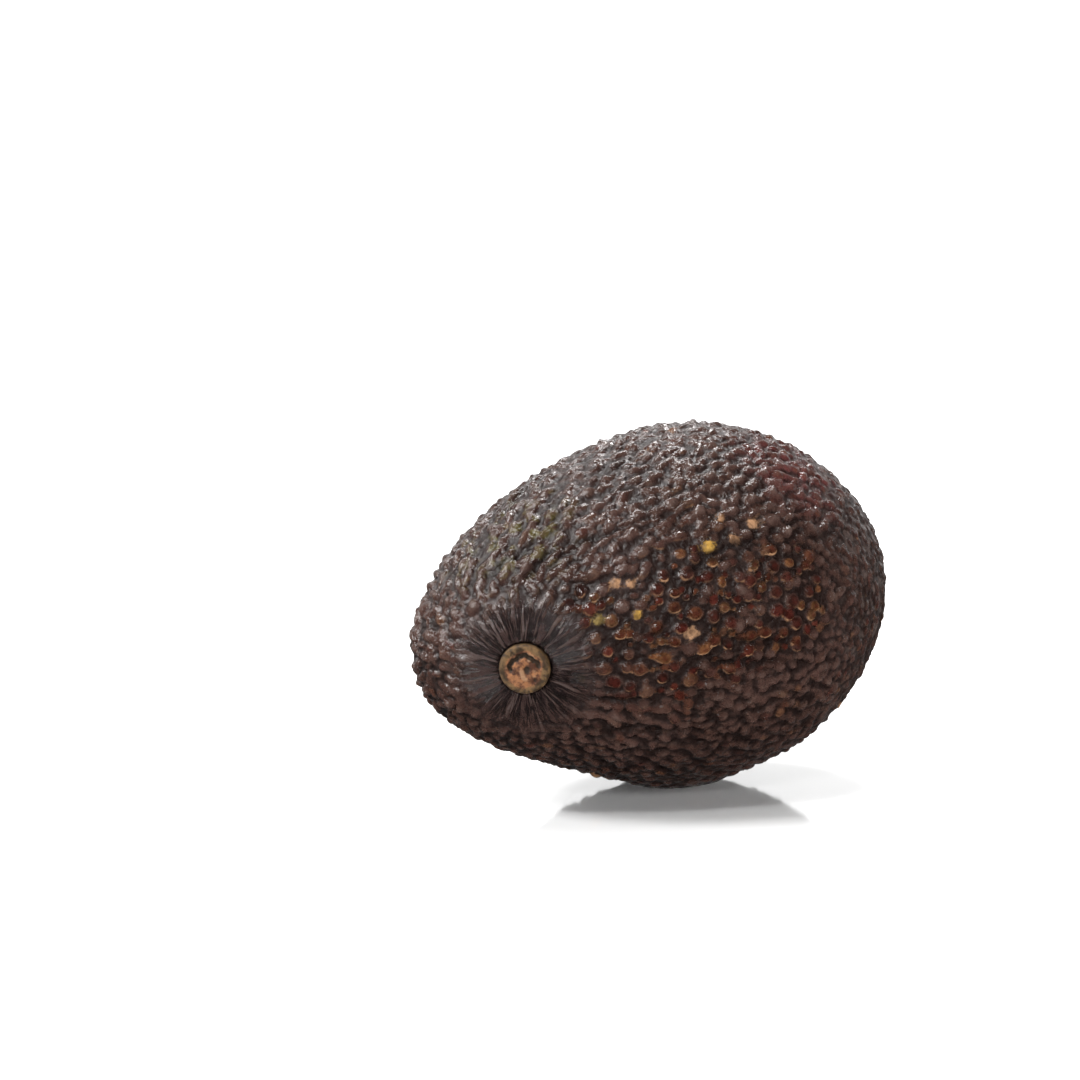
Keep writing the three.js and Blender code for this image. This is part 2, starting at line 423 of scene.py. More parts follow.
def pebble_field():
    """Every pebble's place, grain, size and shape: the solid's own first, then the small ones."""
    large = form(PEBBLES)
    bold, drawn, fine = zones(PEBBLES, large)
    large_radius = by_zone(fine, bold, LARGE_PLAIN + 0.10 * drawn, LARGE_FINE, LARGE_BOLD)
    large_radius *= mix(0.80, 1.15, draw(np.arange(PEBBLE_COUNT), 21))
    small = small_pebbles(large, large_radius)

    directions = np.concatenate([PEBBLES, small])
    points = form(directions)
    bold, drawn, fine = zones(directions, points)
    index = np.arange(len(points))
    radius = by_zone(fine, bold, SMALL_PLAIN, SMALL_FINE, SMALL_BOLD)
    radius *= mix(0.80, 1.20, draw(index, 21))
    radius[:PEBBLE_COUNT] = large_radius
    height = radius * mix(0.50, 0.58, bold) * mix(mix(0.55, 0.8, bold), 1.1, draw(index, 22))
    height *= (1 - 0.35 * fine) * (1 - 0.45 * low_lying(points))
    stretch = mix(1.3, 1.05, bold) + 0.5 * drawn * (1 - 0.8 * bold)
    stretch = mix(stretch, 0.62, fine) * mix(0.85, 1.2, draw(index, 23))
    lean = 0.9 * (draw(index, 24) - 0.5)
    way = grain(directions)
    side = np.cross(directions, way)
    heading = way * np.cos(lean)[:, None] + side * np.sin(lean)[:, None]
    return {
        "points": points,
        "normals": form_normal(directions),
        "ways": along_form(directions, heading),
        "radius": radius / np.sqrt(stretch),
        "stretch": stretch,
        "height": height,
        "bold": bold,
        "drawn": drawn,
        "fine": fine,
    }


def nearest_pebbles(points, centres, count):
    tree = tree_of(centres)
    found = np.zeros((len(points), count), int)
    for row, point in enumerate(points):
        found[row] = [hit[1] for hit in tree.find_n(point, count)]
    return found


def local_places(points, pebbles, found):
    """Where each point lies over each pebble found, along and across it, in millimetres."""
    gap = points[:, None, :] - pebbles["points"][found]
    ways = pebbles["ways"][found]
    sides = np.cross(pebbles["normals"][found], ways)
    return np.sum(gap * ways, axis=2), np.sum(gap * sides, axis=2)


def relief(points, pebbles):
    """How far the pebbles lift the skin at each point, and what the material needs to know of them."""
    calm = 1 - 0.6 * near_any(points, MID_BAND, MID_BAND_REACH)[:, None]
    fine_stray = FINE_STRAY * wander(points, FINE_STRAY_SIZE, 4.1)
    broad_stray = BROAD_STRAY * wander(points, BROAD_STRAY_SIZE, 2.4)
    looked_up = points + calm * (fine_stray + broad_stray)

    found = nearest_pebbles(looked_up, pebbles["points"], DOMES_NEAR)
    along, across = local_places(looked_up, pebbles, found)
    radius = pebbles["radius"][found]
    u, v = along / (radius * pebbles["stretch"][found]), across / radius
    reach = np.hypot(u, v)
    dome = np.maximum(0, 1 - (reach / DOME_EDGE) ** 2) ** mix(0.95, 0.7, pebbles["bold"][found])
    tops = highest(pebbles["height"][found] * dome)

    row = np.arange(len(points))
    owner = reach.argmin(axis=1)
    own = found[row, owner]
    return {
        "raised": tops + roots(looked_up, pebbles) - RELIEF_BASE,
        "crown": reach.min(axis=1),
        "owner": own,
        "low": (pebbles["points"][own] - looked_up)[:, 2] / pebbles["radius"][own],
        "along": u[row, owner],
        "across": v[row, owner],
    }


def roots(points, pebbles):
    """The low wide mounds under the solid's own pebbles, which join them along the grain."""
    found = nearest_pebbles(points, pebbles["points"][:PEBBLE_COUNT], ROOTS_NEAR)
    along, across = local_places(points, pebbles, found)
    bold, drawn, fine = pebbles["bold"][found], pebbles["drawn"][found], pebbles["fine"][found]
    long = mix(1.5 + 0.55 * drawn, 1.3, fine)
    wide = mix(1.2 + 0.15 * bold, 1.8, fine)
    reach = np.hypot(along / (ROOT_EDGE * long), across / (ROOT_EDGE * wide))
    mound = np.maximum(0, 1 - reach**2) ** 1.5
    strength = 0.14 + 0.20 * draw(found, 25) + 0.1 * drawn - 0.08 * fine
    return highest(strength * (1 - 0.45 * bold) * mound)


def highest(heights):
    """The highest of each row, rounded over where two are alike."""
    return np.sum(heights ** 5, axis=1) ** 0.2


def scar_plane(points):
    """How far each point lies from the scar, as spokes of its plane see it, and which way."""
    gap = points - SCAR
    flat = gap - np.outer(gap @ SCAR_NORMAL, SCAR_NORMAL)
    far = np.linalg.norm(flat, axis=1)
    return far, flat / np.maximum(far, 1e-6)[:, None]


def ridges(points):
    """Low folds that run out of the scar like spokes."""
    far, spoke = scar_plane(points)
    waves = noise_at(spoke * 4.5 + np.outer(far / 16, SCAR_NORMAL), 1.0, 3.1)
    waves += 0.6 * noise_at(spoke * 9.0 + np.outer(far / 9, SCAR_NORMAL), 1.0, 9.2)
    in_front = (points - SCAR) @ SCAR_NORMAL > -22
    return waves * smoothstep(3.5, 6, far) * (1 - smoothstep(12, 24, far)) * in_front


def path_through(places):
    """Points on the form, a step apart, along the line through those places."""
    corners = on_sphere(np.array([p[0] for p in places]), np.array([p[1] for p in places]))
    knots = np.arange(len(corners))
    length = np.linalg.norm(np.diff(form(corners), axis=0), axis=1).sum()
    share = np.linspace(0, knots[-1], max(8, int(length / PATH_STEP)))
    spots = unit(np.stack([np.interp(share, knots, corners[:, axis]) for axis in range(3)], axis=1))
    return form(spots)


def wandering_crease(index):
    """A crease on the sides that the photograph hides, along the grain with a slow wander."""
    height, turn = mix(-0.8, 0.7, draw(index, 31)), mix(-2.8, 1.3, draw(index, 32))
    spot = on_sphere(np.array([height]), np.array([turn]))
    length, lean = mix(8, 22, draw(index, 33)), mix(-0.4, 0.4, draw(index, 34))
    line = []
    for step in range(int(length / PATH_STEP)):
        way = grain(spot)
        angle = lean + 0.35 * math.sin(step * 0.11 + index) + 0.2 * math.sin(step * 0.37 + 2 * index)
        heading = way * math.cos(angle) + np.cross(spot, way) * math.sin(angle)
        point = form(spot)
        line.append(point[0])
        ahead = np.linalg.norm(form(unit(spot + 1e-3 * heading)) - point) / 1e-3
        spot = unit(spot + heading * PATH_STEP / ahead)
    return np.array(line)


def crease_share(points):
    """How deep in a crease each point lies, from 0 to 1."""
    lines = [path_through(places) for places in CREASES]
    lines += [wandering_crease(index) for index in range(OTHER_CREASES)]
    depths = [np.sin(math.pi * np.linspace(0.02, 0.98, len(line))) ** 0.5 for line in lines]
    lines, depths = np.concatenate(lines), np.concatenate(depths)
    tree = tree_of(lines)
    cut = np.zeros(len(points))
    for row, point in enumerate(points + 0.8 * wander(points, 3.4, 14.1)):
        _, nearest, gap = tree.find(point)
        if gap < CREASE_REACH:
            cut[row] = depths[nearest] * math.exp(-((gap / CREASE_WIDTH) ** 2))
    return cut


def spot_pebbles(pebbles, tips):
    """Gives the pebble nearest to each marked place its own size and colour, clear of the others."""
    tree = tree_of(pebbles["points"])
    for spot, kind, radius in SPOTS:
        _, nearest, _ = tree.find(place(*spot))
        pebbles["radius"][nearest] = radius * SPOT_SPREAD
        pebbles["stretch"][nearest] = SPOT_STRETCH
        pebbles["height"][nearest] = SPOT_HEIGHT
        around = tree.find_range(pebbles["points"][nearest], radius * SPOT_SPREAD + SPOT_CLEARANCE)
        for _, other, _ in around:
            if other != nearest:
                pebbles["radius"][other] = FLATTENED_RADIUS
                pebbles["height"][other] = 0.0
        tips["worn"][nearest] = 1.0
        tips["colour"][nearest] = SPOT_COLOURS[kind]
        tips["matt"][nearest] = 1.0
        tips["rimmed"][nearest] = 0.0


def tip_finish(pebbles):
    """How browned each pebble's tip is, and its colour, by where it is and by a draw."""
    index = np.arange(len(pebbles["points"]))
    luck = draw(index, 41)
    worn = smoothstep(0.15, 0.75, pebbles["bold"]) * smoothstep(0.05, 0.5, luck)
    worn = np.maximum(worn, 0.55 * smoothstep(0.8, 1, luck))
    worn = np.maximum(worn, 0.5 * pebbles["fine"] * smoothstep(0.3, 0.9, luck))
    choice = np.floor(draw(index, 42) * len(TIP_COLOURS)).astype(int)
    colour = np.array(TIP_COLOURS)[choice] * mix(0.50, 0.95, draw(index, 43))[:, None]
    rimmed = mix(0.1, 1.0, draw(index, 44) ** 1.4)
    return {"worn": worn, "colour": colour, "matt": np.zeros(len(index)), "rimmed": rimmed}


def skin_mesh():
    """The whole skin as one closed mesh with its socket at the scar and its flat spot."""
    mesh = bmesh.new()
    bmesh.ops.create_icosphere(mesh, subdivisions=6, radius=1.0)
    bmesh.ops.subdivide_edges(mesh, edges=mesh.edges[:], cuts=2, use_grid_fill=True)
    directions = unit(np.array([vertex.co for vertex in mesh.verts]))
    base = form(directions)
    normals = form_normal(directions)

    pebbles = pebble_field()
    tips = tip_finish(pebbles)
    spot_pebbles(pebbles, tips)
    skin = relief(base, pebbles)
    crease = crease_share(base)
    near_scar = np.linalg.norm(base - SCAR, axis=1)
    pebbled = smoothstep(RIDGED_RADIUS, PEBBLED_RADIUS, near_scar)
    dish = SCAR_DISH * (1 - smoothstep(SOCKET_RADIUS, SCAR_DISH_RADIUS, near_scar))
    deepened = RELIEF_SCALE * skin["raised"] - RELIEF_DROP
    offset = deepened * mix(RING_RELIEF, 1.0, pebbled) + SPOKE_HEIGHT * ridges(base) - dish
    offset += SWELL_HEIGHT * noise_at(base, SWELL_SIZE, 1.7)
    offset += GRAIN_HEIGHT * noise_at(base, GRAIN_SIZE, 3.3) * pebbled
    plain = pebbled * (1 - pebbles["bold"][skin["owner"]])
    offset += plain * (WRINKLE_LIFT - WRINKLE_DEPTH * np.abs(noise_at(base, WRINKLE_SIZE, 6.1)))
    offset -= CREASE_DEPTH * crease

    # What stands higher than the free height is rounded off, so that no peak sticks out
    over = np.maximum(0, offset - FREE_HEIGHT)
    rounded = HEIGHT_ROUNDING * (1 - np.exp(-over / HEIGHT_ROUNDING))
    offset = np.minimum(offset, FREE_HEIGHT) + rounded

    from_rest = np.linalg.norm((base - REST)[:, :2], axis=1)
    on_pad = np.where(base[:, 2] < 0, 1 - smoothstep(FLAT_RADIUS, FLAT_FADE, from_rest), 0)
    offset = mix(offset, FLAT_PAD, on_pad)
    points = base + offset[:, None] * normals + SHIFT
    points[:, 2] = np.maximum(points[:, 2], 0)
    points = sink_socket(points)
    for vertex, point in zip(mesh.verts, points * MM):
        vertex.co = point

    piece = finished(mesh, "pebbled_rind")
    owner = skin["owner"]
    store(piece, "crown", skin["crown"])
    store(piece, "along", skin["along"])
    store(piece, "across", skin["across"])
    store(piece, "low", skin["low"])
    lift = np.clip((skin["raised"] - LOWEST_RAISED) / RAISED_RANGE, 0, 1)
    store(piece, "lift", mix(RING_LIFT, lift, pebbled))
    store(piece, "crease", crease)
    store(piece, "pebbled", pebbled)
    store(piece, "worn", tips["worn"][owner] * pebbled)
    store(piece, "matt", tips["matt"][owner])
    store(piece, "rimmed", tips["rimmed"][owner])
    store(piece, "fine", pebbles["fine"][owner])
    store_colour(piece, "tip", tips["colour"][owner])
    return piece


def sink_socket(points):
    """Presses the skin inside the scar down to a plain floor with a steep wall round it."""
    gap = points - (SCAR + SHIFT)
    rise = gap @ SCAR_NORMAL
    flat = gap - np.outer(rise, SCAR_NORMAL)
    far = np.linalg.norm(flat, axis=1)
    inside = (far < SOCKET_RADIUS + SOCKET_EDGE) & (rise > -SOCKET_REACH)
    floor = -SOCKET_DEPTH - SCAR_DISH + SOCKET_CLEARANCE
    wall = smoothstep(SOCKET_RADIUS - SOCKET_WALL, SOCKET_RADIUS + SOCKET_WALL, far)
    target = mix(floor, rise, wall)
    return points + np.outer(np.where(inside, target - rise, 0), SCAR_NORMAL)


def store(piece, name, values):
    layer = piece.data.attributes.new(name, "FLOAT", "POINT")
    layer.data.foreach_set("value", np.asarray(values, dtype=np.float32))


def store_colour(piece, name, values):
    layer = piece.data.attributes.new(name, "FLOAT_COLOR", "POINT")
    filled = np.concatenate([values, np.ones((len(values), 1))], axis=1)
    layer.data.foreach_set("color", filled.astype(np.float32).ravel())


def finished(mesh, name):
    """A smooth-shaded object at the origin from a finished bmesh."""
    for face in mesh.faces:
        face.smooth = True
    data = bpy.data.meshes.new(name)
    mesh.to_mesh(data)
    mesh.free()
    piece = bpy.data.objects.new(name, data)
    bpy.context.scene.collection.objects.link(piece)
    return piece


# The stem button, in its own plane: x to the right and y up as the camera sees it

BUTTON_RADIUS = 4.72
BUTTON_FOOT = -SOCKET_DEPTH - SCAR_DISH + 0.1
BUTTON_TURNS = 180
BUTTON_RINGS = 64
BUTTON_PROFILE = [
    (0.0, 0.12), (0.12, 0.16), (0.3, 0.20), (0.45, 0.12), (0.58, 0.02), (0.68, -0.04),
    (0.78, 0.02), (0.88, 0.05), (0.95, -0.08), (0.99, -0.32), (1.0, -0.62),
]

# The marks in the button's top, in button radii and degrees: the crack, the hollow and the notch
CRACK_RADIUS = 0.56
CRACK_WIDTH = 0.085
CRACK_MIDDLE = 98
CRACK_FULL = 70
CRACK_END = 105
CRACK_DEPTH = 0.7
HOLLOW_PLACE = (0.11, 0.0)
HOLLOW_SIZE = (0.13, 0.17)
HOLLOW_DEPTH = 0.45
NOTCH_PLACE = (0.40, -0.42)
NOTCH_SIZE = (0.07, 0.10)
NOTCH_DEPTH = 0.3


def button_axes():
    """Right and up in the button's plane, and its normal."""
    up = unit(np.array([0.0, 0.0, 1.0]) - SCAR_NORMAL[2] * SCAR_NORMAL)
    return np.cross(up, SCAR_NORMAL), up, SCAR_NORMAL


def pit(x, y, middle, size):
    return np.exp(-(((x - middle[0]) / size[0]) ** 2) - ((y - middle[1]) / size[1]) ** 2)


def crack_depth(x, y):
    """A crescent crack round the top of the plug, a hollow near its middle, and a notch low on the right."""
    far, angle = np.hypot(x, y), np.degrees(np.arctan2(y, x))
    ragged = 0.03 * np.sin(np.radians(angle) * 5) + 0.018 * np.sin(np.radians(angle) * 13 + 1.0)
    swing = np.abs((angle - CRACK_MIDDLE + 180) % 360 - 180)
    crescent = np.exp(-(((far - CRACK_RADIUS - ragged) / CRACK_WIDTH) ** 2))
    crescent *= 1 - smoothstep(CRACK_FULL, CRACK_END, swing)
    hollow = HOLLOW_DEPTH * pit(x, y, HOLLOW_PLACE, HOLLOW_SIZE)
    return CRACK_DEPTH * crescent + hollow + NOTCH_DEPTH * pit(x, y, NOTCH_PLACE, NOTCH_SIZE)


def button_mesh():
    mesh = bmesh.new()
    shares = np.linspace(0, 1, BUTTON_RINGS)
    knots = [share for share, _ in BUTTON_PROFILE]
    heights = np.interp(shares, knots, [height for _, height in BUTTON_PROFILE])
    rim = [mesh.verts.new((share * BUTTON_RADIUS, 0, height)) for share, height in zip(shares, heights)]
    rim += [mesh.verts.new((BUTTON_RADIUS * share, 0, BUTTON_FOOT + rise))
            for share, rise in ((1.0, 0.3), (0.94, 0.0), (0.0, 0.0))]
    line = [mesh.edges.new(pair) for pair in zip(rim, rim[1:])]
    bmesh.ops.spin(mesh, geom=rim + line, cent=(0, 0, 0), axis=(0, 0, 1), angle=2 * math.pi,
                   steps=BUTTON_TURNS, use_merge=True)
    bmesh.ops.remove_doubles(mesh, verts=mesh.verts[:], dist=1e-5)
    bmesh.ops.recalc_face_normals(mesh, faces=mesh.faces[:])

    local = np.array([vertex.co for vertex in mesh.verts])
    x, y = local[:, 0] / BUTTON_RADIUS, local[:, 1] / BUTTON_RADIUS
    far = np.hypot(x, y)
    on_top = smoothstep(-0.9, -0.3, local[:, 2])
    crack = crack_depth(x, y)
    rough = noise_at(local, 1.1, 5.5) + 0.7 * noise_at(local, 0.5, 8.1)
    inner = 1 - smoothstep(0.62, 0.8, far)
    flakes = smoothstep(0.1, 0.5, noise_at(local, 1.3, 21.7)) * inner
    local[:, 2] += on_top * (mix(0.05, 0.16, inner) * rough + 0.14 * flakes - crack)
    right, up, out = button_axes()
    points = np.outer(local[:, 0], right) + np.outer(local[:, 1], up) + np.outer(local[:, 2], out)
    for vertex, point in zip(mesh.verts, (points + SCAR + SHIFT) * MM):
        vertex.co = point
    piece = finished(mesh, "button_cork")
    ragged = 0.10 * noise_at(local, 1.6, 3.7)
    store(piece, "rim", smoothstep(0.68, 0.80, far + ragged))
    # The crack's depth, which the cork material darkens as painted shade
    store(piece, "crack", np.clip(crack / 0.42, 0, 1))
    store(piece, "flake", flakes)
    return piece


# Materials

SKIN = {
    "deep brown": (0.0140, 0.0068, 0.0055, 1),
    "brown": (0.027, 0.0142, 0.0118, 1),
    "bloom": (0.050, 0.030, 0.023, 1),
    "lighter rise": (0.050, 0.033, 0.028, 1),
    "red blush": (0.065, 0.0135, 0.0145, 1),
    "green tint": (0.040, 0.035, 0.010, 1),
    "browned flank": (0.034, 0.0175, 0.0130, 1),
    "tip's heart": (0.022, 0.0045, 0.003, 1),
    # a pale rim, brightened on its lower side as a painted reflection of the white floor
    "pale rim with painted floor reflection": (0.165, 0.090, 0.048, 1),
    # painted shade in the valleys between the pebbles
    "valley": (0.0045, 0.0021, 0.0016, 1),
    # painted shade in the creases
    "crease": (0.0040, 0.0022, 0.0018, 1),
    # a painted sheen on the ridges of the net between the fine pebbles
    "painted sheen net": (0.064, 0.044, 0.038, 1),
    "ring": (0.011, 0.008, 0.008, 1),
    # a painted sheen on the raised strands round the scar
    "painted_strand_sheen": (0.060, 0.045, 0.040, 1),
    # painted shade in the grooves round the scar
    "shaded_groove": (0.005, 0.004, 0.004, 1),
    "dark mottle": (0.45, 0.42, 0.40, 1),
    "light mottle": (1.25, 1.25, 1.25, 1),
}
CORK = {
    "dark": (0.032, 0.011, 0.005, 1),
    "brown": (0.122, 0.051, 0.021, 1),
    "speck": (0.026, 0.010, 0.005, 1),
    "flake": (0.185, 0.104, 0.055, 1),
    "dark olive": (0.016, 0.010, 0.004, 1),
    "olive": (0.060, 0.037, 0.015, 1),
    # painted shade in the crack, the hollow and the notch
    "crack": (0.012, 0.008, 0.005, 1),
}

# How deep each layer of the skin's and the cork's bump is, and how wide its features are, in metres
SPOKE_BUMP = 0.55 * MM
PIMPLE_BUMP = 0.30 * MM
GRAIN_BUMP = 0.28 * MM
CELL_BUMP = 0.06 * MM
PIMPLE_SIZE = 1.4 * MM
CELL_SIZE = 1.0 * MM
COARSE_CORK_BUMP = 0.2 * MM
FINE_CORK_BUMP = 0.1 * MM

# How closely the strands round the scar follow each other, and how far they run out
SPOKES_ROUND = 9.0
SPOKE_LENGTH = 9 * MM

SKIN_SHINE = 0.34
CORK_SHINE = 0.3

FLOOR_WHITE = (0.9, 0.9, 0.9, 1)
FLOOR_ROUGHNESS = 0.08
FLOOR_MIRROR = 0.52
FLOOR_SIZE = 40.0


class Shader:
    """A material's node tree, with short ways to add and link nodes."""

    def __init__(self, name):
        self.material = bpy.data.materials.new(name)
        self.material.use_nodes = True
        self.tree = self.material.node_tree
        self.surface = self.tree.nodes["Principled BSDF"]

    def add(self, kind, settings=None, **inputs):
        made = self.tree.nodes.new("ShaderNode" + kind)
        for key, value in (settings or {}).items():
            setattr(made, key, value)
        for key, value in inputs.items():
            self.put(made.inputs[key.replace("_", " ")], value)
        return made

    def put(self, socket, value):
        if isinstance(value, bpy.types.NodeSocket):
            self.tree.links.new(value, socket)
        else:
            socket.default_value = value

    def math(self, operation, *values):
        made = self.tree.nodes.new("ShaderNodeMath")
        made.operation = operation
        for socket, value in zip(made.inputs, values):
            self.put(socket, value)
        return made.outputs[0]

    def vector(self, operation, *values, output=0):
        made = self.tree.nodes.new("ShaderNodeVectorMath")
        made.operation = operation
        for socket, value in zip(made.inputs, values):
            self.put(socket, value)
        return made.outputs[output]

    def scaled(self, vector, share):
        made = self.add("VectorMath", {"operation": "SCALE"}, Scale=share)
        self.put(made.inputs[0], vector)
        return made.outputs[0]

    def ramp(self, value, low, high, at_low=0.0, at_high=1.0):
        made = self.add("MapRange", {"interpolation_type": "SMOOTHSTEP"})
        for socket, setting in zip(made.inputs, (value, low, high, at_low, at_high)):
            self.put(socket, setting)
        return made.outputs[0]

    def blend(self, share, first, second, way="MIX"):
        made = self.add("Mix", {"data_type": "RGBA", "blend_type": way})
        self.put(made.inputs[0], share)
        self.put(made.inputs[6], first)
        self.put(made.inputs[7], second)
        return made.outputs[2]

    def noise(self, where, size, detail=3.0, roughness=0.55):
        """Noise, about 0 to 1, with features of that size in millimetres."""
        made = self.add("TexNoise", Vector=where, Scale=1 / (size * MM), Detail=detail, Roughness=roughness)
        return made.outputs["Fac"]

    def stray(self, where, size, amount):
        """A smooth stray of about that many millimetres, with features of that size."""
        made = self.add("TexNoise", Vector=where, Scale=1 / (size * MM), Detail=2.0)
        centred = self.vector("SUBTRACT", made.outputs["Color"], (0.5, 0.5, 0.5))
        return self.vector("MULTIPLY", centred, (amount * MM, amount * MM, amount * MM))

    def distance(self, where, spot):
        """How far the shaded point is from a place on the fruit, in metres."""
        return self.vector("DISTANCE", where, tuple((place(*spot) + SHIFT) * MM), output=1)

    def attribute(self, name):
        return self.add("Attribute", {"attribute_name": name}).outputs["Fac"]

    def bump(self, depth, height, under=None, strength=1.0):
        """A bump that many metres deep, over the bump under it."""
        made = self.add("Bump", Strength=strength, Distance=depth, Height=height)
        if under is not None:
            self.put(made.inputs["Normal"], under)
        return made.outputs[0]


def skin_material():
    look = Shader("pebbled_skin")
    where = look.add("TexCoord").outputs["Object"]
    worn, pebbled = look.attribute("worn"), look.attribute("pebbled")
    lift, matt = look.attribute("lift"), look.attribute("matt")
    tip = look.add("Attribute", {"attribute_name": "tip"}).outputs["Color"]
    fine = look.noise(where, 1.3, detail=5, roughness=0.6)
    uneven = look.math("MULTIPLY_ADD", fine, 0.5, look.math("SUBTRACT", lift, 0.25))

    # How far out over its own pebble each point is, with a ragged edge
    along, across = look.attribute("along"), look.attribute("across")
    reach = look.math("SQRT", look.math("ADD", look.math("MULTIPLY", along, along),
                                        look.math("MULTIPLY", across, across)))
    reach = look.math("MAXIMUM", reach, look.math("SUBTRACT", look.attribute("crown"), 0.15))
    jitter = look.math("MULTIPLY_ADD", fine, 0.24, -0.12)
    ragged = look.math("MULTIPLY_ADD", look.noise(where, 0.9), 1.6, -0.8)
    jitter = look.math("ADD", jitter, look.math("MULTIPLY", ragged, matt))
    reach = look.math("ADD", reach, jitter)

    colour = skin_ground(look, where, fine, uneven)
    colour = look.blend(look.ramp(reach, 0.55, 1.0, 0.25, 0), colour, SKIN["browned flank"])

    # The worn tip, its dark heart, and the pale crescent on its lower side, partly a pale rim and partly a
    # painted reflection of the white floor
    cap = look.math("MULTIPLY", look.ramp(reach, 0.66, 1.0, 1, 0), worn)
    mottled = look.blend(look.ramp(fine, 0.35, 0.65), SKIN["dark mottle"], SKIN["light mottle"])
    colour = look.blend(cap, colour, look.blend(1.0, tip, mottled, "MULTIPLY"))
    heart = look.math("MULTIPLY", look.ramp(reach, 0.10, 0.60, 0.6, 0), look.math("SUBTRACT", 1.0, matt))
    heart = look.math("MULTIPLY", heart, look.math("MULTIPLY", worn, worn))
    colour = look.blend(heart, colour, SKIN["tip's heart"])
    rim = look.math("MULTIPLY", look.ramp(reach, 0.62, 0.78), look.ramp(reach, 0.86, 1.02, 1, 0))
    # The rim is kept to each pebble's lower side, where it stands for a painted reflection of the floor
    # below
    below = look.math("MULTIPLY", look.ramp(look.attribute("low"), 0.05, 0.65), look.attribute("rimmed"))
    rim = look.math("MULTIPLY", look.math("MULTIPLY", rim, worn), below)
    rim = look.math("MULTIPLY", rim, look.ramp(look.noise(where, 1.6), 0.35, 0.55, 0.15, 1))
    colour = look.blend(rim, colour, SKIN["pale rim with painted floor reflection"])

    # Painted shade in the valleys and creases, and a painted sheen on the pale net between the fine pebbles
    colour = look.blend(look.ramp(uneven, 0.05, 0.44, 0.82, 0), colour, SKIN["valley"])
    colour = look.blend(look.math("MULTIPLY", look.attribute("crease"), 0.9), colour, SKIN["crease"])
    sheen_net = look.math("MULTIPLY", look.ramp(reach, 0.80, 1.10), look.attribute("fine"))
    sheen_net = look.math("MULTIPLY", sheen_net, look.ramp(look.noise(where, 2.4), 0.40, 0.60, 0.1, 0.75))
    colour = look.blend(sheen_net, colour, SKIN["painted sheen net"])

    # The smooth ring round the scar, with strands of painted sheen and grooves of painted shade, in
    # coordinates with no unit
    spokes = look.noise(spoke_coordinates(look, where), 1 / MM, detail=4, roughness=0.6)
    smooth_ring = look.math("SUBTRACT", 1.0, pebbled)
    shaded_groove = look.math("ABSOLUTE", look.math("SUBTRACT", spokes, 0.5))
    shaded_groove = look.math("MULTIPLY", look.ramp(shaded_groove, 0.0, 0.06, 1, 0), smooth_ring)
    painted_strand_sheen = look.math("MULTIPLY", look.ramp(spokes, 0.56, 0.66, 0, 0.38), smooth_ring)
    colour = look.blend(look.math("MULTIPLY", smooth_ring, 0.55), colour, SKIN["ring"])
    # Lighter strands as a painted sheen, and near-black grooves as painted shade
    colour = look.blend(painted_strand_sheen, colour, SKIN["painted_strand_sheen"])
    colour = look.blend(look.math("MULTIPLY", shaded_groove, 0.85), colour, SKIN["shaded_groove"])
    look.put(look.surface.inputs["Base Color"], colour)

    gloss = look.ramp(fine, 0.3, 0.8, 0.14, 0.24)
    gloss = look.math("ADD", gloss, look.ramp(uneven, 0.10, 0.42, 0.34, 0))
    gloss = look.math("ADD", gloss, look.math("MULTIPLY", matt, 0.3))
    gloss = look.math("SUBTRACT", gloss, look.math("MULTIPLY", cap, 0.03))
    look.put(look.surface.inputs["Roughness"], gloss)
    look.put(look.surface.inputs["Specular IOR Level"], SKIN_SHINE)

    spoke_rise = look.math("MULTIPLY", smooth_ring, look.math("SUBTRACT", spokes, shaded_groove))
    bare = look.math("SUBTRACT", pebbled, cap)
    smooth_cap = look.math("MULTIPLY", fine, look.math("MULTIPLY_ADD", cap, -0.7, 1.0))
    bump = look.bump(SPOKE_BUMP, spoke_rise)
    bump = look.bump(PIMPLE_BUMP, pimples(look, where, bare, lift), bump)
    bump = look.bump(GRAIN_BUMP, look.math("MULTIPLY_ADD", sheen_net, 0.8, smooth_cap), bump)
    cells = look.add("TexVoronoi", {"feature": "DISTANCE_TO_EDGE"}, Vector=where, Scale=1 / CELL_SIZE)
    bump = look.bump(CELL_BUMP, look.ramp(cells.outputs["Distance"], 0.0, 0.16), bump, strength=0.5)
    look.put(look.surface.inputs["Normal"], bump)
    return look.material


def skin_ground(look, where, fine, uneven):
    """The colour under the tips: patchy brown with a bloom, a red blush, a green neck, and paler towards the
    tops of the rises.
    """
    patchy = look.noise(where, 14, detail=4)
    ground = look.blend(look.ramp(patchy, 0.35, 0.7), SKIN["deep brown"], SKIN["brown"])
    ground = look.blend(look.ramp(fine, 0.48, 0.75, 0, 0.6), ground, SKIN["bloom"])
    red = look.ramp(look.distance(where, RED_PATCH), 4 * MM, 17 * MM, 0.62, 0)
    red = look.math("MULTIPLY", red, look.ramp(look.noise(where, 4.0), 0.38, 0.60, 0.35, 1))
    ground = look.blend(red, ground, SKIN["red blush"])
    green = look.ramp(look.distance(where, GREEN_NECK), 4 * MM, 18 * MM, 0.9, 0)
    green = look.math("MULTIPLY", green, look.ramp(look.noise(where, 2.6), 0.50, 0.62))
    ground = look.blend(green, ground, SKIN["green tint"])
    # Paler towards the tops of the rises
    lighter_on_rises = look.math("MULTIPLY", look.ramp(uneven, 0.45, 0.95), 0.6)
    return look.blend(lighter_on_rises, ground, SKIN["lighter rise"])


def pimples(look, where, bare, lift):
    """Small round rises between the pebbles, lower on top of them."""
    bent = look.vector("ADD", where, look.stray(where, 2.0, 1.4))
    dots = look.add("TexVoronoi", {"feature": "F1"}, Vector=bent, Scale=1 / PIMPLE_SIZE)
    rise = look.math("MULTIPLY", look.ramp(dots.outputs["Distance"], 0.05, 0.65, 1, 0), bare)
    return look.math("MULTIPLY", rise, look.ramp(lift, 0.45, 0.85, 1, 0.35))


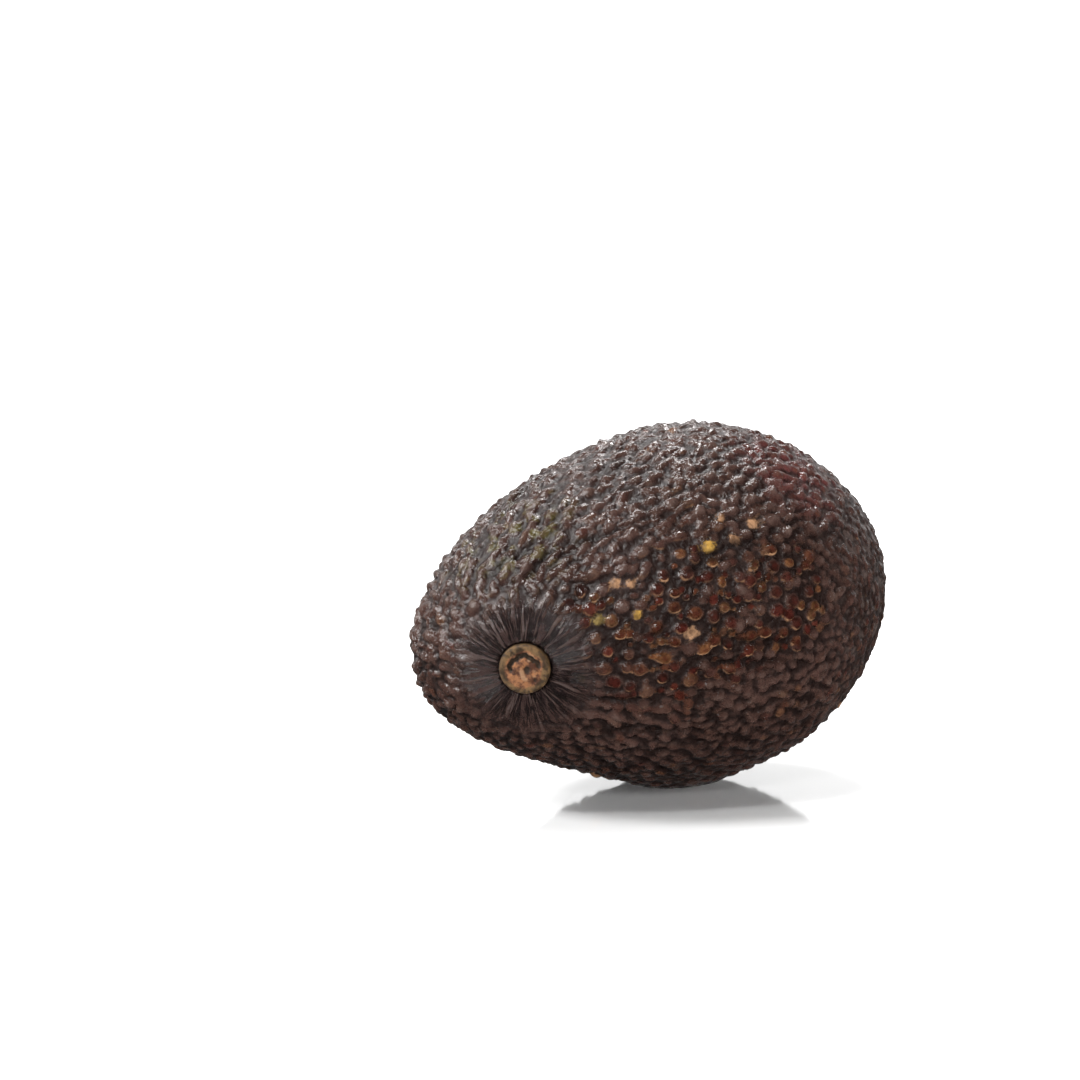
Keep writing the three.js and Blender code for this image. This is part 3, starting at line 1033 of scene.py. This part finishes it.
def cork_material():
    look = Shader("dry_cork")
    where = look.add("TexCoord").outputs["Object"]
    rim, crack, flake = look.attribute("rim"), look.attribute("crack"), look.attribute("flake")
    coarse = look.noise(where, 1.6, detail=5, roughness=0.65)
    fine = look.noise(where, 0.5, detail=4, roughness=0.6)
    colour = look.blend(look.ramp(coarse, 0.40, 0.60), CORK["dark"], CORK["brown"])
    colour = look.blend(look.ramp(fine, 0.54, 0.70), colour, CORK["speck"])
    colour = look.blend(look.math("MULTIPLY", flake, 0.6), colour, CORK["flake"])
    olive = look.blend(look.ramp(coarse, 0.4, 0.62), CORK["dark olive"], CORK["olive"])
    colour = look.blend(look.math("MULTIPLY", rim, 0.85), colour, olive)
    # Painted shade darkens the crack, the hollow and the notch
    colour = look.blend(look.ramp(crack, 0.15, 0.8, 0, 0.95), colour, CORK["crack"])
    look.put(look.surface.inputs["Base Color"], colour)
    look.put(look.surface.inputs["Roughness"], look.ramp(coarse, 0.3, 0.7, 0.62, 0.85))
    look.put(look.surface.inputs["Specular IOR Level"], CORK_SHINE)
    bump = look.bump(COARSE_CORK_BUMP, coarse, strength=0.9)
    bump = look.bump(FINE_CORK_BUMP, fine, bump, strength=0.8)
    look.put(look.surface.inputs["Normal"], bump)
    return look.material


def spoke_coordinates(look, where):
    """Coordinates that are stretched out along the spokes round the scar."""
    axis = tuple(SCAR_NORMAL)
    gap = look.vector("SUBTRACT", where, tuple((SCAR + SHIFT) * MM))
    rise = look.vector("DOT_PRODUCT", gap, axis, output=1)
    flat = look.vector("SUBTRACT", gap, look.scaled(axis, rise))
    spoke = look.scaled(look.vector("NORMALIZE", flat), SPOKES_ROUND)
    out = look.math("MULTIPLY", look.vector("LENGTH", flat, output=1), 1 / SPOKE_LENGTH)
    return look.vector("ADD", spoke, look.scaled(axis, out))


def floor_material():
    """White gloss that mirrors about half of what falls on it."""
    look = Shader("glossy_floor")
    tree = look.tree
    paint = tree.nodes.new("ShaderNodeBsdfDiffuse")
    paint.inputs["Color"].default_value = FLOOR_WHITE
    glaze = tree.nodes.new("ShaderNodeBsdfGlossy")
    glaze.inputs["Color"].default_value = (1, 1, 1, 1)
    glaze.inputs["Roughness"].default_value = FLOOR_ROUGHNESS
    both = tree.nodes.new("ShaderNodeMixShader")
    both.inputs[0].default_value = FLOOR_MIRROR
    tree.links.new(paint.outputs[0], both.inputs[1])
    tree.links.new(glaze.outputs[0], both.inputs[2])
    tree.links.new(both.outputs[0], tree.nodes["Material Output"].inputs["Surface"])
    tree.nodes.remove(look.surface)
    return look.material


# The room, bright behind the fruit and dim elsewhere, by how far a direction faces the camera
BRIGHT_ROOM = 1.3
DIM_ROOM = 0.08
BRIGHT_FACING = -0.97
DIM_FACING = -0.30
BELOW_HORIZON = -0.10
ABOVE_HORIZON = 0.08
BELOW_SHARE = 0.12

# Soft lights: name, where from (right, up, nearer), degrees wide, strength, and if the skin mirrors it
LIGHTS = [
    ("top_light", (-0.10, 1.0, -0.12), 30, 1.8, False),
    ("left_light", (-0.70, 0.68, 0.10), 50, 1.0, False),
    ("back_light", (0.10, 0.55, -0.85), 60, 0.9, False),
    ("right_light", (0.85, 0.12, 0.35), 36, 3.2, False),
    ("front_light", (0.10, 0.02, 0.95), 22, 7.8, False),
    ("left_glint", (-0.72, 0.68, 0.12), 14, 4.4, True),
    ("back_glint", (0.05, 0.80, -0.55), 10, 2.6, True),
    ("front_glint", (-0.40, 0.80, 0.42), 8, 1.8, True),
    ("near_glint", (-0.30, 0.50, 0.82), 6, 0.9, True),
]

# Camera, from the photograph: a long lens from a little above
VIEW_AZIMUTH = math.radians(-32.576)
VIEW_ELEVATION = math.radians(9.276)
VIEW_ROLL = math.radians(-0.353)
VIEW_DISTANCE = 699.48
VIEW_AIM = (-16.163, 14.455, 47.59)
LENS = 121.34


def view_axes():
    """Right, up and back of the camera, as unit vectors."""
    back = Vector((math.sin(VIEW_AZIMUTH) * math.cos(VIEW_ELEVATION),
                   -math.cos(VIEW_AZIMUTH) * math.cos(VIEW_ELEVATION), math.sin(VIEW_ELEVATION)))
    right = Vector((0, 0, 1)).cross(back).normalized()
    up = back.cross(right)
    turned = right * math.cos(VIEW_ROLL) + up * math.sin(VIEW_ROLL)
    return turned, back.cross(turned), back


def add_camera():
    right, up, back = view_axes()
    aim = Vector((VIEW_AIM[0] + SHIFT[0], VIEW_AIM[1] + SHIFT[1], VIEW_AIM[2])) * MM
    lens = bpy.data.cameras.new("camera")
    lens.lens = LENS
    lens.sensor_width = 36
    lens.clip_start = 0.01
    camera = bpy.data.objects.new("camera", lens)
    turn = Matrix((right, up, back)).transposed()
    camera.matrix_world = Matrix.Translation(aim + back * VIEW_DISTANCE * MM) @ turn.to_4x4()
    bpy.context.scene.collection.objects.link(camera)
    bpy.context.scene.camera = camera


def add_softlight(name, towards, width, strength, glints):
    """A distant soft light that many degrees wide, seen from the fruit at so far right, up and nearer."""
    right, _, back = view_axes()
    near = Vector((back.x, back.y, 0)).normalized()
    spot = right * towards[0] + Vector((0, 0, towards[1])) + near * towards[2]
    light = bpy.data.lights.new(name, "SUN")
    light.angle = math.radians(width)
    light.energy = strength
    lamp = bpy.data.objects.new(name, light)
    lamp.location = spot.normalized()
    lamp.visible_glossy = glints
    lamp.rotation_euler = spot.to_track_quat("Z", "Y").to_euler()
    bpy.context.scene.collection.objects.link(lamp)


def add_world():
    """A studio that is bright behind the fruit, dim round the camera and dark below the floor's level."""
    world = bpy.data.worlds.new("studio")
    world.use_nodes = True
    tree = world.node_tree
    room = tree.nodes["Background"]
    room.inputs["Color"].default_value = (1, 1, 1, 1)
    towards = tree.nodes.new("ShaderNodeTexCoord")
    facing = tree.nodes.new("ShaderNodeVectorMath")
    facing.operation = "DOT_PRODUCT"
    facing.inputs[1].default_value = view_axes()[2]
    dimming = tree.nodes.new("ShaderNodeMapRange")
    dimming.interpolation_type = "SMOOTHERSTEP"
    for socket, value in zip(dimming.inputs[1:5], (BRIGHT_FACING, DIM_FACING, BRIGHT_ROOM, DIM_ROOM)):
        socket.default_value = value
    tree.links.new(towards.outputs["Generated"], facing.inputs[0])
    tree.links.new(facing.outputs["Value"], dimming.inputs[0])
    height = tree.nodes.new("ShaderNodeSeparateXYZ")
    above = tree.nodes.new("ShaderNodeMapRange")
    above.interpolation_type = "SMOOTHSTEP"
    for socket, value in zip(above.inputs[1:5], (BELOW_HORIZON, ABOVE_HORIZON, BELOW_SHARE, 1.0)):
        socket.default_value = value
    light = tree.nodes.new("ShaderNodeMath")
    light.operation = "MULTIPLY"
    tree.links.new(towards.outputs["Generated"], height.inputs[0])
    tree.links.new(height.outputs["Z"], above.inputs[0])
    tree.links.new(dimming.outputs[0], light.inputs[0])
    tree.links.new(above.outputs[0], light.inputs[1])
    tree.links.new(light.outputs[0], room.inputs["Strength"])
    backdrop = tree.nodes.new("ShaderNodeBackground")
    backdrop.inputs["Color"].default_value = (1, 1, 1, 1)
    chosen = tree.nodes.new("ShaderNodeMixShader")
    ray = tree.nodes.new("ShaderNodeLightPath")
    tree.links.new(ray.outputs["Is Camera Ray"], chosen.inputs[0])
    tree.links.new(room.outputs[0], chosen.inputs[1])
    tree.links.new(backdrop.outputs[0], chosen.inputs[2])
    tree.links.new(chosen.outputs[0], tree.nodes["World Output"].inputs["Surface"])
    bpy.context.scene.world = world


def add_floor():
    mesh = bmesh.new()
    bmesh.ops.create_grid(mesh, x_segments=1, y_segments=1, size=FLOOR_SIZE)
    floor = finished(mesh, "floor")
    floor.data.materials.append(floor_material())
    floor.visible_glossy = False


bpy.context.scene.view_settings.view_transform = "Standard"
rind = skin_mesh()
rind.data.materials.append(skin_material())
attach(rind, "root")
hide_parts("fruit")

cork = button_mesh()
cork.data.materials.append(cork_material())
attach(cork, "root")
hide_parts("stem_button")

add_floor()
add_world()
for light in LIGHTS:
    add_softlight(*light)
add_camera()
